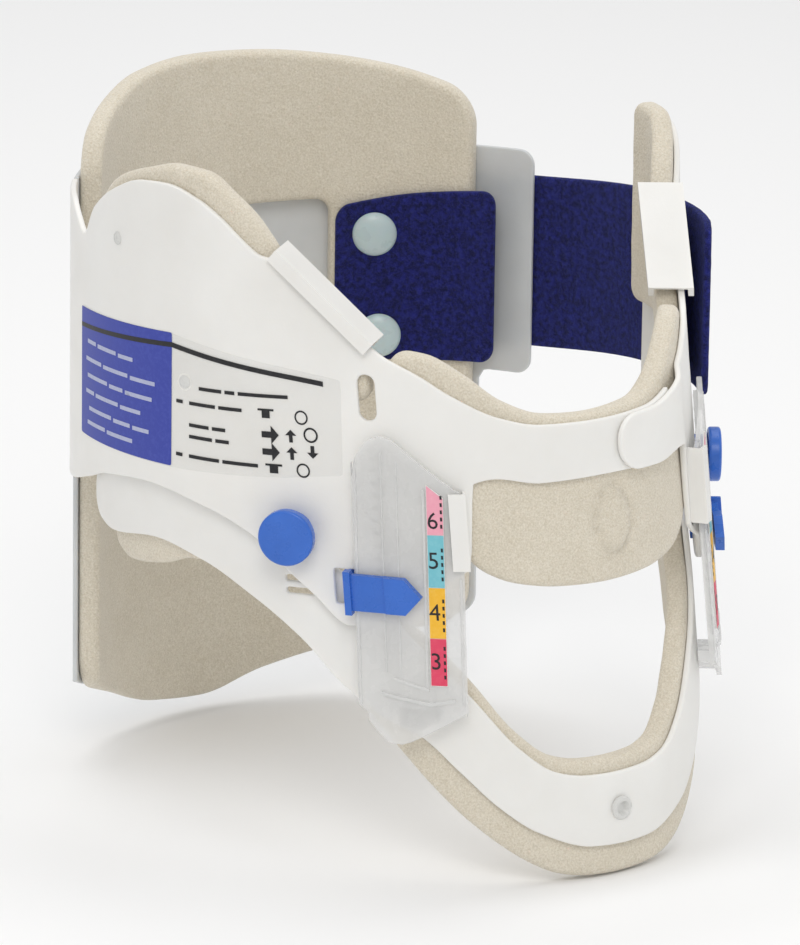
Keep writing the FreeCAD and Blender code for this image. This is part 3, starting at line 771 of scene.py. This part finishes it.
# ---------------------------------------------------------------- build: sternum band
PITCH, SLIDE_Z = 3.0, 1 / math.hypot(LEAN, 1)
ladder = []
for k in range(-5, 8):
    z = LOCK_LEVEL + k * PITCH * SLIDE_Z
    ladder.append(round_box(LOCK_S - 3.4, LOCK_S + 3.4, z - 0.75, z + 0.75, 0.6, 4))
arm_low, arm_high = curve(ARM_LOW), curve(ARM_TOP)
ladder = [h for h in ladder if min(p[1] for p in h) > arm_low(LOCK_S) + 1.5
          and max(p[1] for p in h) < arm_high(LOCK_S) - 1.0]
band = panel("sternum_band_skin", between(arm_low, notched(arm_high, 3.4, LOCK_LEVEL - 0.75),
                                          LEFT_ARM_END, 148, 4, 1.5, notch_places(3.4)),
             -ARM_GAP - SHELL, -ARM_GAP, "sternum", WHITE,
             holes=[disc(0, -2, 2.0, 20)] + ladder + [[(-s, z) for s, z in h] for h in ladder],
             edge=0.45)
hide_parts("sternum_band")


# ---------------------------------------------------------------- build: strap
strap_lift = curve([(300, REAR_SHELL + GAP), (322, REAR_SHELL + 0.3), (350, 2.5), (410, 2.5)])
strap_low = curve([(283, 75.0), (329, 75.5), (366, 78.0), (400, 79.0), (410, 79.0)])


def strap_offset(s, z=0.0):
    return strap_lift(s)


def pile_ripple(seed, amount):
    def ripple(s, z, offset):
        return noise.noise(Vector((s * 0.9, z * 0.9, seed))) * amount
    return ripple


strap = panel("strap_band", between(strap_low, lambda s: strap_low(s) + STRAP_WIDTH, 283, 407.4, 4,
                                    1.2), strap_offset, lambda s, z: strap_offset(s) + STRAP,
              None, PILE, holes=[disc(s, z, 2.0, 20) for s, z in RIVETS], edge=0.7, steps=3,
              grid=1.8, ripple=pile_ripple(3.0, 0.09), smooth=80)
tuple(wall(328, 98, 2.5))
tuple(wall(338, 98, 2.5))
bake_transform(strap)
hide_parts("strap_anchor", "strap_tail")

tab_low = curve([(278.6, 71), (323.5, 72)])
tab_high = curve([(278.6, 111), (300, 114.5), (323.5, 116.5)])
tab = panel("strap_inner_tab_pile", between(tab_low, tab_high, 278.6, 323.5, 4, 1.2),
            -FOAM - STRAP, -FOAM - GAP, "rear", PILE,
            holes=[disc(s, z, 2.0, 20) for s, z in RIVETS], edge=0.7, steps=3, grid=1.8,
            ripple=pile_ripple(7.0, 0.09), smooth=80)
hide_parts("strap_inner_tab")

hook = panel("hook_patch_pile", round_box(-114, -84, 84, 118, 3), SHELL + 0.05, SHELL + 0.6,
             "front", HOOK, edge=0.3, grid=2.0)
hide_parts("hook_patch")

# ---------------------------------------------------------------- build: rivets and pins
for i, (s, z) in enumerate(RIVETS):
    head = turned("dome_rivet_%d" % i,
                  [(0, -9.35), (2.0, -9.3), (3.6, -9.05), (4.9, -8.5), (5.5, -7.95), (5.6, -7.6),
                   (5.4, -7.4), (2.0, -7.4), (2.0, 3.2), (4.4, 3.2), (4.6, 3.5), (4.3, 4.1),
                   (3.0, 4.4), (0, 4.5)], s, z, "rear", RIVET, smooth=50)
    if i == 0:
        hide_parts("strap_rivets")
for i, (s, z) in enumerate(((130.5, 128.0), (106.5, 97.6))):
    pin = turned("foam_pin_%d" % i, [(0.0, 1.9), (0.5, 2.05), (0.9, 2.0), (1.25, 1.75),
                                     (1.6, 1.6), (1.6, 1.45), (0.9, 1.2), (0.9, -1.8),
                                     (0, -1.9)], s, z, "front", PIN)
    if i == 0:
        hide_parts("foam_pins")
eyelet = turned("sternum_eyelet", [(0.0, -1.3), (1.1, -1.3), (1.4, -0.8), (1.8, -0.3),
                                   (2.4, -0.3), (2.9, -0.7), (2.9, -1.3), (1.6, -1.7),
                                   (1.6, -8.6), (3.9, -8.8), (4.0, -9.3), (0, -9.5)],
                0, -2, "sternum", PIN)
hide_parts("sternum_pin")


# ---------------------------------------------------------------- build: kept CAD nodes
def dress(name, material, bevel=0.0003, segments=3, angle=30):
    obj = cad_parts[name]
    obj.data.materials.clear()
    obj.data.materials.append(material)
    if bevel:
        mod = obj.modifiers.new("edge", "BEVEL")
        mod.width = bevel
        mod.segments = segments
        mod.limit_method = "ANGLE"
        mod.angle_limit = math.radians(angle)
        mod.harden_normals = False
    return obj


for word in ("right", "left"):
    dress(word + "_edge_clip", WHITE)
    dress(word + "_plate_guide", WHITE, 0.0002)
    dress(word + "_latch", BLUE, 0.00035)
    dress(word + "_lock_button", BLUE, 0.0002)
    dress(word + "_rack_plate", CLEAR, 0.0002)
    dress(word + "_size_scale", WHITE, 0)

# ---------------------------------------------------------------- print
FILM_AT = SHELL + 0.06      # offsets of the printed layers, from the film up
BLOCK_AT = FILM_AT + 0.03
PRINT_AT = FILM_AT + 0.06
decal("info_film", fillet([(150.4, 76), (150.4, 107), (110.5, 108.8), (62.5, 101.5), (63.6, 79.0),
                           (78, 77.5), (110.5, 76.2)], 1.0), FILM_AT, "front", FILM, grid=3.0,
      holes=[list(reversed(disc(106.5, 97.6, 2.1)))])
decal("info_block", fillet([(150.6, 75.9), (150.6, 107.1), (110.5, 108.9), (110.5, 76.5)], 0.6),
      BLOCK_AT, "front", INK_BLUE, grid=3.0)
decal("info_rule", [(150.6, 102.1), (110.5, 105.4), (66.8, 99.7), (66.8, 100.9), (110.5, 106.6),
                    (150.6, 103.2)], PRINT_AT, "front", INK_BLACK)


def bar(name, s0, s1, z, height, material=INK_BLACK, slope=0.0):
    """A short printed bar standing for a line of small print."""
    rise = slope * (s0 - s1)
    return decal(name, [(s0, z), (s1, z - rise), (s1, z + height - rise), (s0, z + height)],
                 PRINT_AT, "front", material)


def bars(rows, first, *style):
    """Rows of bars, each as a height z and the (start, end) of its bars. Returns the next number."""
    for z, spans in rows:
        for s0, s1 in spans:
            bar("small_print_%d" % first, s0, s1, z, *style)
            first += 1
    return first


count = bars(((99.0, ((146, 141), (140, 131), (130, 124))),
              (94.6, ((147, 138), (137, 126), (125, 116))),
              (90.6, ((146, 135), (134, 128), (127, 117))),
              (86.6, ((147, 142), (141, 130), (129, 121))),
              (82.6, ((145, 133), (132, 125), (124, 118))),
              (79.0, ((146, 136), (135, 124)))), 0, 1.0, INK_WHITE, -0.02)
bars(((96.2, ((102, 95), (94, 91), (90, 76))),
      (92.3, ((109, 107), (105, 97), (96, 89))),
      (87.0, ((105, 99), (98, 94))),
      (84.2, ((105, 98), (97, 93))),
      (79.4, ((109, 107), (105, 96), (95, 85)))), count, 0.85)

ARROW = [(-0.32, -1), (0.32, -1), (0.32, 0.1), (0.95, 0.1), (0, 1), (-0.95, 0.1), (-0.32, 0.1)]
ARROW_TURNS = {"up": (1, 0), "down": (-1, 0), "front": (0, 1)}


def arrow(name, s, z, size, way):
    """A small solid arrow that points up, down or towards the front."""
    c, q = ARROW_TURNS[way]
    return decal(name, [(s + size * (x * c - y * q), z + size * (x * q + y * c)) for x, y in ARROW],
                 PRINT_AT, "front", INK_BLACK)


def ring(name, s, z, r, width):
    return decal(name, disc(s, z, r), PRINT_AT, "front", INK_BLACK,
                 holes=[list(reversed(disc(s, z, r - width)))])


for letter, s, z, size, way in (("a", 75.9, 87.5, 1.5, "up"), ("b", 75.9, 83.4, 1.5, "up"),
                                ("c", 70.6, 84.0, 1.5, "down"), ("d", 81.3, 87.5, 2.3, "front"),
                                ("e", 81.3, 83.4, 2.3, "front")):
    arrow("arrow_" + letter, s, z, size, way)
for letter, s, z, r, width in (("a", 70.8, 88.0, 1.8, 0.45), ("b", 72.9, 92.0, 1.7, 0.4),
                               ("c", 73.3, 79.5, 1.7, 0.4)):
    ring("ring_" + letter, s, z, r, width)
for k, (s, z) in enumerate(((82.2, 92.6), (80.8, 79.6))):
    bar("lock_sign_%d" % k, s + 2.2, s - 2.2, z + 0.5, 0.5)
    bar("lock_sign_stem_%d" % k, s + 1.1, s - 1.1, z - 1.2, 1.7)


# ---------------------------------------------------------------- build: the size scales
SCALE_LEVELS = [31.6, 42.8, 54.8, 67.2, 76.0]
SCALE_TOPS = (75.8, 78.8)   # the top band's corners, at its front and rear edges
SCALE_AT = 43.0             # where along the wall the scale's own straight frame stands
BAND_FRONT, BAND_REAR, NUMBER_S = 41.1, 44.9, 43.6
TICK_FRONT, TICK_REAR, TICK_HEIGHT, TICK_STEP, TICKS = 41.3, 41.8, 0.9, 1.7, 5
NUMBER_SIZE = 5.6
PLATE_SLANT = 0.045
SCALE_TOP = 4.2 + 0.3 + 0.05


def flat_frame(at):
    """The straight-sided frame that the plate's own strips are drawn in, square to one s."""
    nx, ny = plan(at)[1]
    step = Vector(plan(at + 0.1)[0]) - Vector(plan(at)[0])
    across = Vector((step.x, step.y, 0)).normalized()
    rise = Vector((0, lean(at), 1))

    def place(s, z, offset):
        start = wall(at, LEAN_LEVEL, 0) * 1000
        return (start + Vector((nx, ny, 0)) * offset + across * (s - at)
                + rise * (z - LEAN_LEVEL)) * 0.001
    return place


def slant(s, z):
    return s + PLATE_SLANT * (LEAN_LEVEL - z)


def digit(name, text, s, z, offset, place):
    """A plain number, drawn as a text curve and laid on the scale."""
    data = bpy.data.curves.new(name, "FONT")
    data.body = text
    data.size = NUMBER_SIZE
    data.align_x, data.align_y = "CENTER", "CENTER"
    data.resolution_u = 3
    holder = bpy.data.objects.new(name + "_text", data)
    bpy.context.scene.collection.objects.link(holder)
    mesh = bpy.data.meshes.new_from_object(holder)
    bpy.data.objects.remove(holder)
    for v in mesh.vertices:     # seen from outside, s falls from left to right on both sides
        v.co = place(s - v.co.x, z + v.co.y, offset)
    mesh.materials.clear()
    mesh.materials.append(INK_BLACK)
    obj = bpy.data.objects.new(name, mesh)
    bpy.context.scene.collection.objects.link(obj)
    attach(obj, "sternum")
    return obj


def size_scale(word, side):
    """Colour bands, a number on each, and small ticks along the front edge."""
    place = flat_frame(side * SCALE_AT)

    def on_plate(s, z):
        return side * slant(s, z), z
    for i in range(4):
        z0, z1 = SCALE_LEVELS[i] + 0.05, SCALE_LEVELS[i + 1] - 0.05
        front_top, rear_top = (z1, z1) if i < 3 else SCALE_TOPS
        outline = [on_plate(BAND_FRONT, z0), on_plate(BAND_REAR, z0),
                   on_plate(BAND_REAR, rear_top), on_plate(BAND_FRONT, front_top)]
        decal("%s_scale_%d" % (word, i), outline, SCALE_TOP, "sternum", SCALE_INKS[3 - i],
              place=place)
        middle = (z0 + z1) / 2 - (1.2 if i == 3 else 0)
        digit("%s_number_%d" % (word, i), str(3 + i), side * slant(NUMBER_S, middle), middle,
              SCALE_TOP + 0.04, place)
        for k in range(TICKS):
            low = z0 + 1.6 + k * TICK_STEP
            front, rear = side * slant(TICK_FRONT, low), side * slant(TICK_REAR, low)
            decal("%s_tick_%d_%d" % (word, i, k),
                  [(front, low), (rear, low), (rear, low + TICK_HEIGHT), (front, low + TICK_HEIGHT)],
                  SCALE_TOP + 0.04, "sternum", INK_BLACK, place=place)


# the rack plate's moulded ribs: height, then corners as (s, the level its slant is taken at, z)
RIBS = (("label", 0.5, ((45.2, 30, 31), (45.8, 30, 31), (45.8, 76, 78), (45.2, 76, 77.6))),
        ("foot", 0.5, ((45.2, 30, 30), (53.0, 30, 32.4), (53.0, 30, 33.1), (45.2, 30, 30.8))),
        ("ledge", 0.6, ((39.4, 27, 27.6), (45, 27, 26.6), (56, 27, 28.6), (56, 27, 29.4),
                        (45, 27, 27.5), (39.4, 27, 28.5))),
        ("rear", 0.4, ((60.9, 26, 26), (61.6, 26, 26.5), (61.6, 84, 82), (60.9, 84, 84))),
        ("mid", 0.3, ((54.6, 34, 34), (55.0, 34, 34), (55.0, 84, 86), (54.6, 84, 86))),
        ("inner", 0.3, ((51.2, 34, 34), (51.6, 34, 34), (51.6, 84, 84), (51.2, 84, 84))),
        ("front", 0.4, ((37.4, 27, 27), (38.0, 27, 27), (38.0, 57, 57), (37.4, 57, 57))))
RIB_AT = 4.15

for side, word in ((1, "right"), (-1, "left")):
    size_scale(word, side)
    for name, height, corners in RIBS:
        loop = [(side * slant(s, level), z) for s, level, z in corners]
        panel("%s_rib_%s" % (word, name), densify(loop, 2.2), RIB_AT, RIB_AT + height, "sternum",
              CLEAR, edge=0.15, steps=2, grid=6.0)

# ---------------------------------------------------------------- light, floor, camera
def area_light(name, at, target, size, power, colour=(1, 1, 1)):
    data = bpy.data.lights.new(name, "AREA")
    data.shape = "RECTANGLE"
    data.size, data.size_y = size
    data.energy = power
    data.color = colour
    obj = bpy.data.objects.new(name, data)
    obj.location = at
    obj.rotation_euler = (Vector(target) - Vector(at)).to_track_quat("-Z", "Y").to_euler()
    bpy.context.scene.collection.objects.link(obj)
    return obj


world = bpy.data.worlds.new("studio")
bpy.context.scene.world = world
world.use_nodes = True
world.node_tree.nodes["Background"].inputs["Color"].default_value = (1.0, 1.0, 1.0, 1)
world.node_tree.nodes["Background"].inputs["Strength"].default_value = 0.62

floor_z = cad_box[0][2] - 0.0005
bm = bmesh.new()
bmesh.ops.create_grid(bm, x_segments=1, y_segments=1, size=6.0)
bmesh.ops.translate(bm, vec=(0, 0, floor_z), verts=bm.verts)
floor = finish_mesh("floor", bm, None, None)
floor_white = principled("floor_white", **{"Roughness": 0.9, "Specular IOR Level": 0.1,
                                           "Base Color": (0.93, 0.93, 0.93, 1)})[0]
floor.data.materials.append(floor_white)

area_light("key", (-0.9, -1.1, 1.3), (0, 0, 0.06), (0.8, 0.8), 9, (1.0, 0.985, 0.96))
area_light("fill", (1.2, -0.9, 0.7), (0, 0, 0.06), (1.0, 1.0), 2, (0.96, 0.98, 1.0))
area_light("top", (0.1, 0.4, 1.6), (0, 0, 0.06), (1.2, 1.2), 9)

cam_data = bpy.data.cameras.new("camera")
cam_data.lens = 288.2
cam_data.sensor_width = 36.0
cam = bpy.data.objects.new("camera", cam_data)
az, el, roll = math.radians(38.5), math.radians(15.0), math.radians(0.8)
back = Vector((-math.sin(az) * math.cos(el), -math.cos(az) * math.cos(el), math.sin(el)))
right = Vector((math.cos(az), -math.sin(az), 0))
up = back.cross(right)
rolled_right = right * math.cos(roll) + up * math.sin(roll)
rolled_up = up * math.cos(roll) - right * math.sin(roll)
aim = Vector((3.4, -2.5, 60.0)) * 0.001
turn = Matrix((rolled_right, rolled_up, back)).transposed().to_4x4()
turn.translation = aim + back * 1.85
cam.matrix_world = turn
cam_data.clip_start, cam_data.clip_end = 0.05, 50
bpy.context.scene.collection.objects.link(cam)
bpy.context.scene.camera = cam
bpy.context.scene.view_settings.view_transform = "Standard"
bpy.context.scene.view_settings.look = "None"
